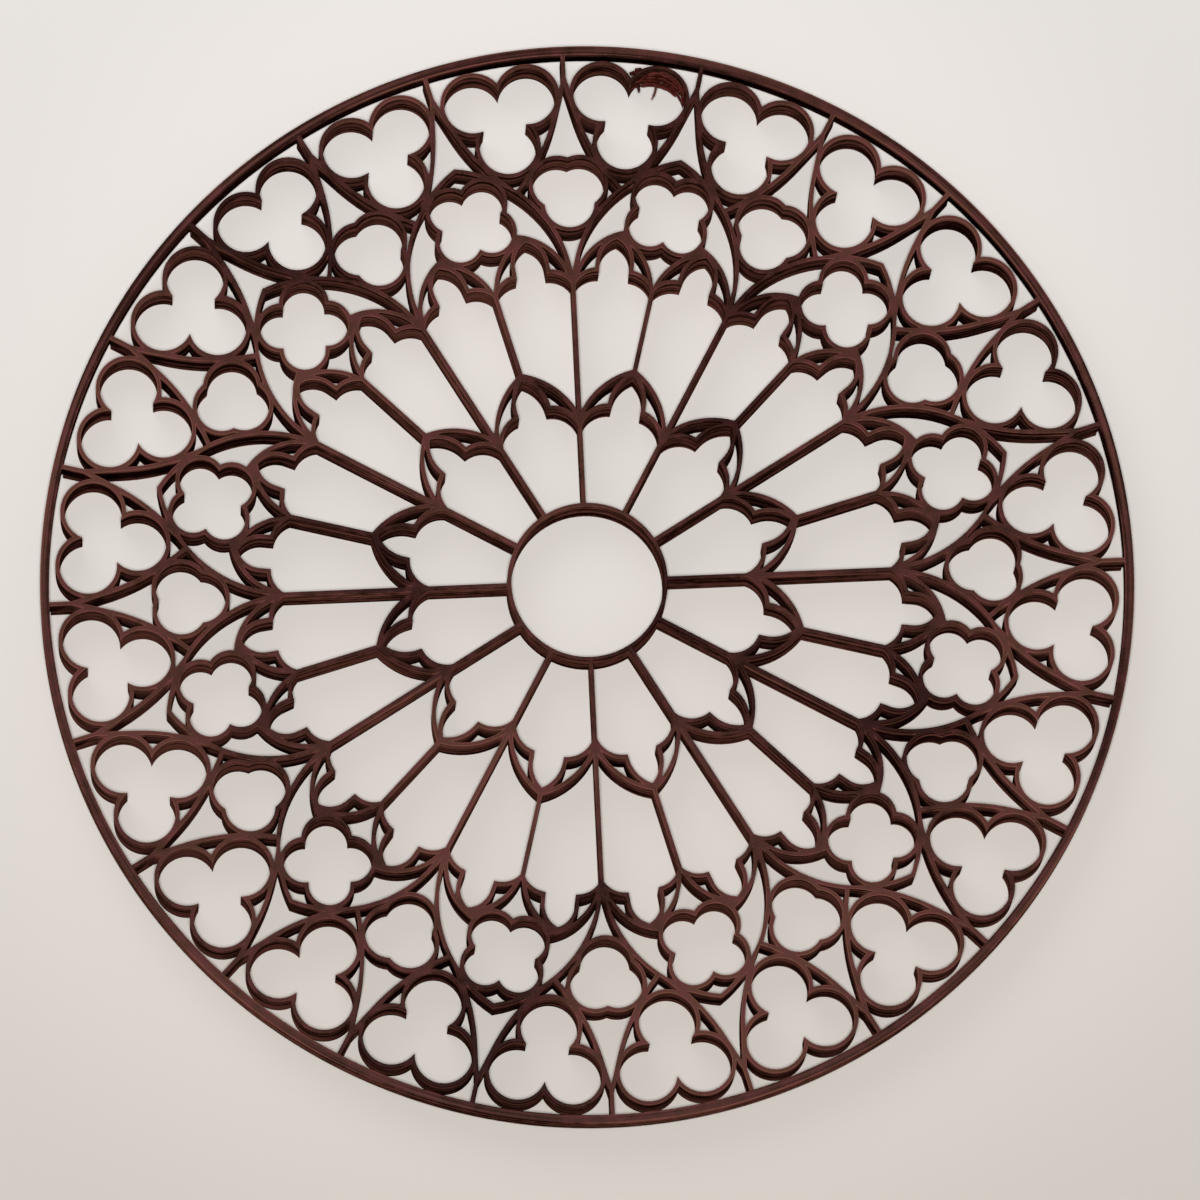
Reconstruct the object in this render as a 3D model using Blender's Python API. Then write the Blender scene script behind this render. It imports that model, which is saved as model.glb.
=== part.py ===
"""Rose window tracery panel, printed in one piece and lying flat.

Twelve bays of Gothic tracery stand between a hub ring and an outer rim.  Every
wall follows a centre line made of arcs and straight runs, and every opening is
the outline that its bordering walls leave between them.  The panel's underside
is on z = 0, its axis is +Z, and the first main spoke runs along +Y.
"""
import math

import bmesh
import bpy

MM = 0.001

# Overall size
RIM_RADIUS = 100.0 * MM
RIM_INNER_RADIUS = 98.4 * MM
RIM_DEPTH = 6.0 * MM
RIM_LAP = 0.2 * MM
PANEL_DEPTH = 10.0 * MM
WALL = 0.75 * MM
HUB_RADIUS = 14.3 * MM

# Layout
BAYS = 12
BAY = 360.0 / BAYS
HALF = BAY / 2
QUARTER = BAY / 4
NARROWEST_SLOT = 0.2 * MM
ACUTE_CORNER = 35.0

# Pointed arches: each side is an arc centred past the axis by "past", at "height"
# from the window's centre.  Foils: each lobe is centred "aside" of the axis.
PETAL_ARCH = {"past": 6.24 * MM, "height": 27.29 * MM, "radius": 14.28 * MM}
PETAL_HEAD = {"past": 3.66 * MM, "height": 33.83 * MM, "radius": 6.76 * MM}
PETAL_SHOULDER = {"aside": 2.16 * MM, "height": 27.64 * MM, "radius": 5.40 * MM}
LANCET_ARCH = {"past": 4.28 * MM, "height": 54.55 * MM, "radius": 11.31 * MM}
LANCET_HEAD = {"past": 1.79 * MM, "height": 59.94 * MM, "radius": 4.93 * MM}
LANCET_SHOULDER = {"aside": 2.60 * MM, "height": 53.07 * MM, "radius": 5.14 * MM}
QUATREFOIL_OUTER = {"aside": 3.08 * MM, "height": 73.14 * MM, "radius": 4.21 * MM}
QUATREFOIL_INNER = {"aside": 3.02 * MM, "height": 67.31 * MM, "radius": 4.24 * MM}
SMALL_TREFOIL_OUTER = {"aside": 2.06 * MM, "height": 74.32 * MM, "radius": 4.94 * MM}
SMALL_TREFOIL_INNER = {"aside": 0.0, "height": 70.72 * MM, "radius": 4.95 * MM}
BAY_ARCH = {"past": 8.53 * MM, "height": 58.54 * MM, "radius": 23.27 * MM}
LARGE_TREFOIL_OUTER = {"aside": 5.04 * MM, "height": 91.12 * MM, "radius": 5.64 * MM}
LARGE_TREFOIL_INNER = {"aside": 0.0, "height": 82.50 * MM, "radius": 5.63 * MM}
CUP_ARCH = {"past": 25.79 * MM, "height": 102.12 * MM, "radius": 38.50 * MM}
CUP_TOP = 94.2 * MM

# Facets: how far one may cut into its arc, how many the rim has, and the share of
# one that is left out at an arc's end, inside a circle and outside it
FACET_DEPTH = 0.45 * MM
RIM_FACETS = 48
LEAST_INSIDE = 0.6
LEAST_OUTSIDE = 0.5
HUB_FACETS = 24
WELD = 0.001 * MM

COLOUR = (0.054, 0.020, 0.018, 1.0)
ROUGHNESS = 0.45


class Straight:
    """A wall's face, parallel to the axis at "turn" degrees and "aside" of it.

    side is +1 where the opening lies clockwise of the wall, seen from above.
    """

    def __init__(self, turn, side, aside=0.0, thicken=0.0):
        self.args = (turn, side, aside)
        self.side = side
        angle = math.radians(turn)
        offset = aside + side * (WALL / 2 + thicken)
        self.along = (math.sin(angle), math.cos(angle))
        self.origin = (offset * math.cos(angle), -offset * math.sin(angle))

    def thicker(self, amount):
        return Straight(*self.args, thicken=amount)

    def nearest(self, point):
        x, y = point[0] - self.origin[0], point[1] - self.origin[1]
        run = x * self.along[0] + y * self.along[1]
        return (self.origin[0] + run * self.along[0], self.origin[1] + run * self.along[1])

    def direction(self, point):
        return (self.side * self.along[0], self.side * self.along[1])

    def walk(self, start, end):
        return []


class Round:
    """A wall's face on a circle, drawn in the frame whose axis is at "turn" degrees.

    inside is True where the opening lies within the circle.
    """

    def __init__(self, turn, x, y, radius, inside, facets=None, wall=WALL, thicken=0.0):
        self.args = (turn, x, y, radius, inside, facets, wall)
        self.frame = math.radians(turn)
        self.centre = turned((x, y), turn)
        half = wall / 2 + thicken
        self.radius = radius - half if inside else radius + half
        self.inside = inside
        self.step = math.tau / (facets or even_facets(radius))

    def thicker(self, amount):
        return Round(*self.args, thicken=amount)

    def angle(self, point):
        return math.atan2(point[0] - self.centre[0], point[1] - self.centre[1]) - self.frame

    def point(self, angle):
        x = self.centre[0] + self.radius * math.sin(angle + self.frame)
        y = self.centre[1] + self.radius * math.cos(angle + self.frame)
        return (x, y)

    def nearest(self, point):
        return self.point(self.angle(point))

    def direction(self, point):
        way = 1 if self.inside else -1
        x, y = point[0] - self.centre[0], point[1] - self.centre[1]
        return (way * y / self.radius, -way * x / self.radius)

    def walk(self, start, end):
        """Points between start and end, on whole steps of the circle."""
        way = 1 if self.inside else -1
        first = way * self.angle(start)
        span = (way * self.angle(end) - first) % math.tau
        spare = self.step * (LEAST_INSIDE if self.inside else LEAST_OUTSIDE)
        count = math.floor(first / self.step) + 1
        points = []
        while count * self.step - first < span - spare:
            if count * self.step - first > spare:
                points.append(self.point(way * count * self.step))
            count += 1
        return points


def even_facets(radius):
    """The even number of facets that keeps a circle's facets within FACET_DEPTH."""
    return 2 * math.ceil(math.pi / (2 * math.acos(1 - FACET_DEPTH / radius)))


def turned(point, degrees):
    """A point of a frame whose axis is at "degrees", clockwise of +Y, in the panel."""
    c, s = math.cos(math.radians(degrees)), math.sin(math.radians(degrees))
    return (point[0] * c + point[1] * s, -point[0] * s + point[1] * c)


def arch(turn, form, side, inside):
    """One side of a pointed arch: side is -1 for the left arc and +1 for the right."""
    return Round(turn, -side * form["past"], form["height"], form["radius"], inside)


def foil(turn, form, side, inside):
    """One lobe: side is -1 or +1."""
    return Round(turn, side * form["aside"], form["height"], form["radius"], inside)


def stilt(turn, form, side, inside):
    """The straight side below a pointed head, on the head's widest line."""
    aside = side * (form["radius"] - form["past"])
    return Straight(turn, -side if inside else side, aside)


def cup_run(turn, side, inside):
    """The straight top of the cup arch, a tangent that ends on the bar beside it."""
    end = turned((0.0, CUP_TOP), QUARTER)
    x, y = end[0] + CUP_ARCH["past"], end[1] - CUP_ARCH["height"]
    lean = math.atan2(x, y) - math.asin(CUP_ARCH["radius"] / math.hypot(x, y))
    aside = end[0] * math.cos(lean) - end[1] * math.sin(lean)
    return Straight(turn + side * math.degrees(lean), -side if inside else side, side * aside)


def meetings(a, b):
    """The two points where edges a and b cross, or touch."""
    if isinstance(a, Straight):
        a, b = b, a
    if isinstance(b, Straight):
        x, y = b.origin[0] - a.centre[0], b.origin[1] - a.centre[1]
        run = x * b.along[0] + y * b.along[1]
        reach = math.sqrt(max(run * run - x * x - y * y + a.radius ** 2, 0.0))
        runs = (-run - reach, -run + reach)
        return [(b.origin[0] + r * b.along[0], b.origin[1] + r * b.along[1]) for r in runs]
    x, y = b.centre[0] - a.centre[0], b.centre[1] - a.centre[1]
    gap = math.hypot(x, y)
    run = (gap * gap + a.radius ** 2 - b.radius ** 2) / (2 * gap)
    reach = math.sqrt(a.radius ** 2 - run * run)
    x, y = x / gap, y / gap
    return [
        (a.centre[0] + x * run - way * y * reach, a.centre[1] + y * run + way * x * reach)
        for way in (1, -1)
    ]


def straight_meeting(a, b):
    """The point where two straight edges cross."""
    cross = a.along[0] * b.along[1] - a.along[1] * b.along[0]
    x, y = b.origin[0] - a.origin[0], b.origin[1] - a.origin[1]
    run = (x * b.along[1] - y * b.along[0]) / cross
    return (a.origin[0] + run * a.along[0], a.origin[1] + run * a.along[1])


def corner(a, b, turn, pick):
    """The crossing of a and b that lies outermost, innermost, leftmost or rightmost."""
    if isinstance(a, Straight) and isinstance(b, Straight):
        return straight_meeting(a, b)
    order = {
        "out": lambda p: turned(p, -turn)[1],
        "in": lambda p: -turned(p, -turn)[1],
        "right": lambda p: turned(p, -turn)[0],
        "left": lambda p: -turned(p, -turn)[0],
    }
    return max(meetings(a, b), key=order[pick])


def opening_corner(a, b, turn, pick):
    """A corner, drawn back to the slot's least width where its walls run together."""
    sharp = corner(a, b, turn, pick)
    u, v = a.direction(sharp), b.direction(sharp)
    bend = math.atan2(v[0] * u[1] - v[1] * u[0], u[0] * v[0] + u[1] * v[1])
    if math.pi - bend > math.radians(ACUTE_CORNER):
        return sharp
    spare = NARROWEST_SLOT / 2
    return corner(a.thicker(spare), b.thicker(spare), turn, pick)


def piercing(turn, edges):
    """The outline of an opening, walked clockwise.

    edges pairs each edge with the pick of the corner where it starts.
    """
    corners = []
    for index, (edge, pick) in enumerate(edges):
        corners.append(opening_corner(edges[index - 1][0], edge, turn, pick))
    outline = []
    for index, (edge, pick) in enumerate(edges):
        outline.append(corners[index])
        outline += edge.walk(corners[index], corners[(index + 1) % len(edges)])
    return outline


def mirrored(outline, turn):
    """The outline's reflection in the axis at "turn" degrees, still clockwise."""
    flat = [turned(point, -turn) for point in reversed(outline)]
    return [turned((-x, y), turn) for x, y in flat]


def circle(radius, facets):
    return [turned((0.0, radius), index * 360 / facets) for index in range(facets)]


def petal(axis):
    """The cusped light between two main spokes and the hub."""
    hub = Round(axis, 0.0, 0.0, HUB_RADIUS, False)
    return piercing(axis, [
        (Straight(axis - HALF, 1), "out"),
        (foil(axis, PETAL_SHOULDER, -1, True), "out"),
        (stilt(axis, PETAL_HEAD, -1, True), "out"),
        (arch(axis, PETAL_HEAD, -1, True), "out"),
        (arch(axis, PETAL_HEAD, 1, True), "out"),
        (stilt(axis, PETAL_HEAD, 1, True), "out"),
        (foil(axis, PETAL_SHOULDER, 1, True), "out"),
        (Straight(axis + HALF, -1), "out"),
        (hub, "out"),
    ])


def petal_spandrel(axis):
    """The sliver between a petal's arch and its cusped head, on the left side."""
    return piercing(axis, [
        (arch(axis, PETAL_ARCH, -1, True), "out"),
        (arch(axis, PETAL_HEAD, -1, False), "in"),
        (stilt(axis, PETAL_HEAD, -1, False), "out"),
        (foil(axis, PETAL_SHOULDER, -1, False), "out"),
    ])


def lancet(axis):
    """The cusped light between a main spoke, on the left, and a petal's own spoke."""
    return piercing(axis, [
        (Straight(axis - QUARTER, 1), "out"),
        (foil(axis, LANCET_SHOULDER, -1, True), "out"),
        (stilt(axis, LANCET_HEAD, -1, True), "out"),
        (arch(axis, LANCET_HEAD, -1, True), "out"),
        (arch(axis, LANCET_HEAD, 1, True), "out"),
        (stilt(axis, LANCET_HEAD, 1, True), "out"),
        (foil(axis, LANCET_SHOULDER, 1, True), "out"),
        (Straight(axis + QUARTER, -1), "out"),
        (arch(axis + QUARTER, PETAL_ARCH, -1, False), "out"),
    ])


def lancet_kite(axis):
    """The kite between a quatrefoil and the two lancets below it."""
    return piercing(axis, [
        (arch(axis - QUARTER, LANCET_ARCH, 1, False), "out"),
        (foil(axis, QUATREFOIL_INNER, -1, False), "right"),
        (foil(axis, QUATREFOIL_INNER, 1, False), "in"),
        (arch(axis + QUARTER, LANCET_ARCH, -1, False), "left"),
    ])


def quatrefoil(axis):
    return piercing(axis, [
        (foil(axis, QUATREFOIL_OUTER, -1, True), "left"),
        (foil(axis, QUATREFOIL_OUTER, 1, True), "out"),
        (foil(axis, QUATREFOIL_INNER, 1, True), "right"),
        (foil(axis, QUATREFOIL_INNER, -1, True), "in"),
    ])


def quatrefoil_cap(axis):
    """The sliver between a quatrefoil and the point of the bay's arch."""
    return piercing(axis, [
        (arch(axis, BAY_ARCH, -1, True), "out"),
        (arch(axis, BAY_ARCH, 1, True), "out"),
        (foil(axis, QUATREFOIL_OUTER, 1, False), "out"),
        (foil(axis, QUATREFOIL_OUTER, -1, False), "out"),
    ])


def quatrefoil_dagger(axis):
    """The dagger between a quatrefoil, the bay's arch and a lancet, on the left side."""
    return piercing(axis, [
        (arch(axis, BAY_ARCH, -1, True), "out"),
        (foil(axis, QUATREFOIL_OUTER, -1, False), "in"),
        (foil(axis, QUATREFOIL_INNER, -1, False), "left"),
        (arch(axis - QUARTER, LANCET_ARCH, -1, False), "left"),
    ])


def small_trefoil(axis):
    return piercing(axis, [
        (foil(axis, SMALL_TREFOIL_OUTER, -1, True), "left"),
        (foil(axis, SMALL_TREFOIL_OUTER, 1, True), "out"),
        (foil(axis, SMALL_TREFOIL_INNER, 1, True), "right"),
    ])


def small_trefoil_foot(axis):
    """The triangle below a small trefoil, between two bay arches."""
    return piercing(axis, [
        (arch(axis - HALF, BAY_ARCH, 1, False), "out"),
        (foil(axis, SMALL_TREFOIL_INNER, 1, False), "in"),
        (arch(axis + HALF, BAY_ARCH, -1, False), "in"),
    ])


def gable(axis, left_foot, right_foot):
    """The tall triangle between two cup arches, standing on the two feet given."""
    return piercing(axis, [
        (arch(axis - QUARTER, CUP_ARCH, 1, False), "out"),
        (cup_run(axis - QUARTER, 1, False), "out"),
        (cup_run(axis + QUARTER, -1, False), "out"),
        (arch(axis + QUARTER, CUP_ARCH, -1, False), "out"),
        (right_foot, "out"),
        (left_foot, "out"),
    ])


def large_trefoil(axis):
    return piercing(axis, [
        (foil(axis, LARGE_TREFOIL_OUTER, -1, True), "left"),
        (foil(axis, LARGE_TREFOIL_OUTER, 1, True), "out"),
        (foil(axis, LARGE_TREFOIL_INNER, 1, True), "right"),
    ])


def cup_spandrel(axis):
    """The sliver between a large trefoil and its cup arch, on the right side."""
    return piercing(axis, [
        (foil(axis, LARGE_TREFOIL_OUTER, 1, False), "right"),
        (arch(axis, CUP_ARCH, 1, True), "in"),
        (foil(axis, LARGE_TREFOIL_INNER, 1, False), "out"),
    ])


def rim_spandrel(axis):
    """The opening between the rim, two bars and the shoulders of a large trefoil."""
    rim = Round(axis, 0.0, 0.0, RIM_INNER_RADIUS, True, RIM_FACETS, wall=0.0)
    return piercing(axis, [
        (Straight(axis - QUARTER, 1), "out"),
        (rim, "out"),
        (Straight(axis + QUARTER, -1), "out"),
        (cup_run(axis, 1, True), "out"),
        (foil(axis, LARGE_TREFOIL_OUTER, 1, False), "out"),
        (foil(axis, LARGE_TREFOIL_OUTER, -1, False), "out"),
        (cup_run(axis, -1, True), "out"),
    ])


def bay_piercings():
    """Every opening of one bay: on the main spoke, on the petal, and between them."""
    outer_left, outer_right = (
        foil(0, SMALL_TREFOIL_OUTER, side, False) for side in (-1, 1)
    )
    point_left, point_right = (arch(HALF, BAY_ARCH, side, False) for side in (-1, 1))
    outlines = [
        small_trefoil(0),
        small_trefoil_foot(0),
        gable(0, outer_left, outer_right),
        petal(HALF),
        lancet_kite(HALF),
        quatrefoil(HALF),
        quatrefoil_cap(HALF),
        gable(HALF, point_left, point_right),
    ]
    for outline in (petal_spandrel(HALF), quatrefoil_dagger(HALF)):
        outlines += [outline, mirrored(outline, HALF)]
    for outline in (lancet(QUARTER), large_trefoil(QUARTER), rim_spandrel(QUARTER)):
        outlines += [outline, mirrored(outline, 0)]
    spandrel = cup_spandrel(QUARTER)
    for outline in (spandrel, mirrored(spandrel, QUARTER)):
        outlines += [outline, mirrored(outline, 0)]
    return outlines


def build_plate(name, collection, outlines, base, depth):
    """A flat plate pierced by outlines, from z = base up, as a closed mesh."""
    curve = bpy.data.curves.new(name, "CURVE")
    curve.dimensions = "2D"
    curve.fill_mode = "BOTH"
    curve.extrude = depth / 2
    for outline in outlines:
        spline = curve.splines.new("POLY")
        spline.points.add(len(outline) - 1)
        for point, (x, y) in zip(spline.points, outline):
            point.co = (x, y, 0.0, 1.0)
        spline.use_cyclic_u = True
    drawn = bpy.data.objects.new(name, curve)
    drawn.location.z = base + depth / 2
    collection.objects.link(drawn)
    bpy.context.view_layer.update()
    evaluated = drawn.evaluated_get(bpy.context.evaluated_depsgraph_get())
    mesh = bpy.data.meshes.new_from_object(evaluated)
    place = drawn.matrix_world.copy()
    bpy.data.objects.remove(drawn)
    form = bmesh.new()
    form.from_mesh(mesh)
    bmesh.ops.remove_doubles(form, verts=form.verts, dist=WELD)
    caps = [face for face in form.faces if len(face.verts) == 3]
    seams = [edge for edge in form.edges if all(len(f.verts) == 3 for f in edge.link_faces)]
    bmesh.ops.beautify_fill(form, faces=caps, edges=seams)
    bmesh.ops.recalc_face_normals(form, faces=form.faces)
    form.to_mesh(mesh)
    form.free()
    mesh.name = name
    plate = bpy.data.objects.new(name, mesh)
    plate.matrix_world = place
    collection.objects.link(plate)
    return plate


def build_collection(name):
    collection = bpy.data.collections.new(name)
    bpy.context.scene.collection.children.link(collection)
    return collection


def build_plastic():
    material = bpy.data.materials.new("dark_red_brown_plastic")
    material.use_nodes = True
    shader = material.node_tree.nodes["Principled BSDF"]
    shader.inputs["Base Color"].default_value = COLOUR
    shader.inputs["Roughness"].default_value = ROUGHNESS
    return material


def main():
    for thing in list(bpy.data.objects):
        bpy.data.objects.remove(thing)
    window = build_collection("rose_window")
    cutters = build_collection("rose_window_cutters")

    outlines = [circle(RIM_RADIUS, RIM_FACETS), circle(HUB_RADIUS - WALL / 2, HUB_FACETS)]
    for outline in bay_piercings():
        for bay in range(BAYS):
            outlines.append([turned(point, bay * BAY) for point in outline])
    panel = build_plate("tracery_panel", window, outlines, 0.0, PANEL_DEPTH)
    panel.data.materials.append(build_plastic())

    # The rim is shallower than the tracery: its underside is cut back.
    band = [circle(RIM_RADIUS + MM, RIM_FACETS), circle(RIM_INNER_RADIUS - RIM_LAP, RIM_FACETS)]
    relief = build_plate("rim_relief", cutters, band, -MM, MM + PANEL_DEPTH - RIM_DEPTH)
    relief.hide_render = True
    relief.display_type = "WIRE"
    cut = panel.modifiers.new("rim_relief", "BOOLEAN")
    cut.operation = "DIFFERENCE"
    cut.solver = "EXACT"
    cut.object = relief


main()
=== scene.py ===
"""Looks of a rose window tracery panel: dark red-brown printed plastic, lying flat."""

import math
import random

import bmesh
import bpy
from mathutils import Matrix, Quaternion, Vector, noise


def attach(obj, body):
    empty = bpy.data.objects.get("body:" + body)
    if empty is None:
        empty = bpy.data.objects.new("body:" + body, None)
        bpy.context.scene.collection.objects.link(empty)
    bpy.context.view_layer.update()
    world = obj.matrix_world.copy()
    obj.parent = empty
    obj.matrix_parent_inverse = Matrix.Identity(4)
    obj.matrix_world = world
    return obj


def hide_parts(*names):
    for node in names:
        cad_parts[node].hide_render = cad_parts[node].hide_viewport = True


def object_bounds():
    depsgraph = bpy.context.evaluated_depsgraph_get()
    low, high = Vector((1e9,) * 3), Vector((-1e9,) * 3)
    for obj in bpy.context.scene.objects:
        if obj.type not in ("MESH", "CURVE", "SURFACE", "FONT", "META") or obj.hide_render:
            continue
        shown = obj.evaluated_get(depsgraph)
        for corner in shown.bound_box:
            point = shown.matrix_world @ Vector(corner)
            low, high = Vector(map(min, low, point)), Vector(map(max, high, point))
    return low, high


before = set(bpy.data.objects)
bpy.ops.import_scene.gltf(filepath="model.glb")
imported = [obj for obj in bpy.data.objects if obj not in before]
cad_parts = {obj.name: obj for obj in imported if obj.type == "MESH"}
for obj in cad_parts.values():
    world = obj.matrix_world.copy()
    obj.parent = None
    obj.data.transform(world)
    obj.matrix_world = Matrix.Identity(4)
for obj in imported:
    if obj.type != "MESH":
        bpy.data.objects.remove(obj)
CAD_LOW, CAD_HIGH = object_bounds()

MM = 0.001

# Sizes from the frame.  The forms below are drawn in hundredths of the rim's radius.
RIM_RADIUS = (CAD_HIGH.x - CAD_LOW.x) / 2
PANEL_DEPTH = CAD_HIGH.z - CAD_LOW.z
UNIT = RIM_RADIUS / 100

RIM_INNER_RADIUS = 98.4
RIM_DEPTH = 6.0 * MM
WALL = 0.75
HUB_RADIUS = 14.3

# Twelve bays.  In degrees, HALF leads to a bay's petal and QUARTER to its lancets.
BAYS = 12
BAY = 360.0 / BAYS
HALF = BAY / 2
QUARTER = BAY / 4

# Where two walls run together at less than ACUTE_CORNER degrees, the opening ends
# where it is NARROWEST_SLOT wide
NARROWEST_SLOT = 0.1
ACUTE_CORNER = 25.0

# Pointed arches: each side is an arc centred past the axis by "past", at "height"
# from the window's centre.  Foils: each lobe is centred "aside" of the axis.
PETAL_ARCH = {"past": 6.24, "height": 27.29, "radius": 14.28}
PETAL_HEAD = {"past": 3.66, "height": 33.83, "radius": 6.76}
PETAL_SHOULDER = {"aside": 2.16, "height": 27.64, "radius": 5.40}
LANCET_ARCH = {"past": 4.28, "height": 54.55, "radius": 11.31}
LANCET_HEAD = {"past": 1.79, "height": 59.94, "radius": 4.93}
LANCET_SHOULDER = {"aside": 2.60, "height": 53.07, "radius": 5.14}
QUATREFOIL_OUTER = {"aside": 3.08, "height": 73.14, "radius": 4.21}
QUATREFOIL_INNER = {"aside": 3.02, "height": 67.31, "radius": 4.24}
SMALL_TREFOIL_OUTER = {"aside": 2.06, "height": 74.32, "radius": 4.94}
SMALL_TREFOIL_INNER = {"aside": 0.0, "height": 70.72, "radius": 4.95}
BAY_ARCH = {"past": 8.53, "height": 58.54, "radius": 23.27}
LARGE_TREFOIL_OUTER = {"aside": 5.04, "height": 91.12, "radius": 5.64}
LARGE_TREFOIL_INNER = {"aside": 0.0, "height": 82.50, "radius": 5.63}
CUP_ARCH = {"past": 25.79, "height": 102.12, "radius": 38.50}
CUP_TOP = 94.2

# Facets: how far one may cut into its arc, how many the rim and the hub have, and
# the share of one that is left out at an arc's end
FACET_DEPTH = 0.012
RIM_FACETS = 360
HUB_FACETS = 72
LEAST_FACET = 0.3

# Points nearer than WELD are joined, and the plate's edges rounded by EDGE_ROUND
WELD = 0.001 * MM
EDGE_ROUND = 0.15 * MM

# The ring cut away below the rim: its outer radius, and how far it reaches in past
# the rim's inner face and down past the underside
RELIEF_RADIUS = 101.0
RELIEF_OVERLAP = 0.2
RELIEF_BELOW = 1.0 * MM

# Plastic: colours of the dark and the light streaks, a browner and a redder tint for
# its patches, and the values of the pattern between which one turns into the other
WALL_SIDES = ((0.017, 0.0042, 0.0030), (0.205, 0.080, 0.063))
# The tops' colours stand apart from the sides' as a painted sheen of light on the top faces
WALL_TOPS_PAINTED_SHEEN = ((0.023, 0.0056, 0.0045), (0.099, 0.036, 0.031))
LOOSE_PLASTIC = ((0.034, 0.0045, 0.0035), (0.128, 0.030, 0.025))
PATCH_TINTS = ((0.94, 1.0, 0.82), (1.0, 0.84, 0.92))
SIDE_TURN = (0.41, 0.61)
TOP_TURN = (0.36, 0.64)
TINT_TURN = (0.38, 0.62)

# A face takes on the top's colours, which paint in a sheen of light, and the top's gloss as its
# normal's Z rises through this range
TOP_SHEEN_FACING = (0.94, 0.99)
TOP_GLOSS = 0.08
TOP_GLOSS_ROUGHNESS = 0.35
ROUGHNESS = (0.34, 0.52)

# Print marks, in repeats a metre.  Streaks and layers lie across Z, their lengths and
# waves in the panel's plane.  The rim's lines count outwards from RIM_LINES_FROM, in
# hundredths of its radius.  A spread is how far a mark shifts the pattern's value.
WALL_STREAKS = 680.0
WAD_STREAKS = 2600.0
STREAK_LENGTHS = 22.0
STREAK_DETAIL = 2.0
RIM_LINES = 1900.0
RIM_LINES_FROM = RIM_INNER_RADIUS - 0.1
LAYERS = 5000.0
LAYER_WAVES = 40.0
LAYER_DETAIL = 1.0
LAYER_RELIEF = 0.05 * MM
LAYER_STRENGTH = 0.6
GRAIN = 2500.0
GRAIN_SPREAD = 0.08
PATCHES = 380.0
PATCH_SPREAD = 0.14
MOTTLE_DETAIL = 2.0

# The wad of failed strands in one lobe, over an arc in degrees clockwise of +Y.
# Starts and ends are shares of that arc, levels shares of the panel's depth.
WAD_SEED = 11
WAD_STRANDS = 30
WAD_STEPS = 36
WAD_ARC = (-58.0, 100.0)
WAD_STARTS = (0.0, 0.25)
WAD_ENDS = (0.75, 1.0)
WAD_LEVELS = (0.25, 0.97)
WAD_SAG = 2.2
WAD_SAG_POWER = 0.8
WAD_WALL_GAP = 0.05
WAD_TOP_GAP = 0.4 * MM
WAD_WAVES = 9.0
WAD_WAVE_SHIFT = 3.7
WAD_WAVE_STARTS = (0.0, 10.0)
WAD_WAVE_ACROSS = 0.22
WAD_WAVE_UP = 0.45 * MM

# Strands are thinner over the last few steps towards their ends
STRAND_RADIUS = 0.16 * MM
STRAND_TIP = 0.35
STRAND_TAPER_STEPS = 3

# Ends that hang out of the wad: start, end and sideways bow of each
HANGING_ENDS = (
    ((17.0, 93.3, 6.0), (16.1, 90.2, 5.5), 0.30),
    ((13.75, 93.0, 7.0), (13.8, 91.4, 6.5), 0.05),
    ((13.65, 93.0, 7.5), (13.75, 91.6, 7.0), 0.0),
)
HANGING_STEPS = 8
HANGING_RADIUS = 0.22 * MM

# Blobs of plastic on the wall beside the wad
BEADS = ((13.55, 95.3, 8.6), (12.57, 94.6, 8.8), (13.0, 94.9, 8.0), (14.2, 95.5, 7.6))
BEAD_RADIUS = 0.42 * MM
BEAD_DENT = 0.25
BEAD_DENTS_PER_METRE = 3000.0

# Floor: colours at its near and far side, a painted light falloff (painted shade near, painted
# light far), and a painted pool of light whose dimming runs outwards round the panel
FLOOR_SIZE = 3.0
FLOOR_NEAR_PAINTED_SHADE = (0.645, 0.61, 0.568)
FLOOR_FAR_PAINTED_LIGHT = (0.82, 0.795, 0.772)
FLOOR_PAINTED_SHADE_SPAN = (-0.12, 0.12)
FLOOR_PAINTED_LIGHT_POOL = (0.085, 0.150)
FLOOR_PAINTED_POOL_EDGE = 0.895
FLOOR_ROUGHNESS = 0.6
FLOOR_SPECULAR = 0.2

# Light
ROOM_COLOUR = (1.0, 0.98, 0.96)
ROOM_STRENGTH = 0.17
KEY_POWER = 95.0
KEY_SIZE = 0.37
KEY_DISTANCE = 3.4
KEY_COLOUR = (1.0, 0.98, 0.96)
FILL_POWER = 1.6
FILL_SIZE = 0.8
FILL_PLACE = (-0.35, 0.55, 0.8)
FILL_TARGET = (-0.05, 0.2, 0)
FILL_COLOUR = (0.97, 0.98, 1.0)

# Camera: azimuth 0 looks along +Y; angles in degrees, lengths in metres
CAMERA_AZIMUTH = -11.1
CAMERA_ELEVATION = 79.8
CAMERA_ROLL = 8.55
CAMERA_LENS = 492.7
CAMERA_SENSOR = 36.0
CAMERA_DISTANCE = 3.0
CAMERA_TARGET = (0.0021, -0.0035, 0.010)
CAMERA_CLIP = (0.1, 10.0)


class Straight:
    """A wall's face, parallel to the axis at "turn" degrees and "aside" of it.

    side is +1 where the opening lies clockwise of the wall, seen from above.
    """

    def __init__(self, turn, side, aside=0.0, thicken=0.0):
        self.args = (turn, side, aside)
        self.side = side
        angle = math.radians(turn)
        offset = aside + side * (WALL / 2 + thicken)
        self.along = (math.sin(angle), math.cos(angle))
        self.origin = (offset * math.cos(angle), -offset * math.sin(angle))

    def thicker(self, amount):
        return Straight(*self.args, thicken=amount)

    def direction(self, point):
        """The way that the opening's outline runs here."""
        return (self.side * self.along[0], self.side * self.along[1])

    def walk(self, start, end):
        """A straight run has no points between its ends."""
        return []


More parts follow.
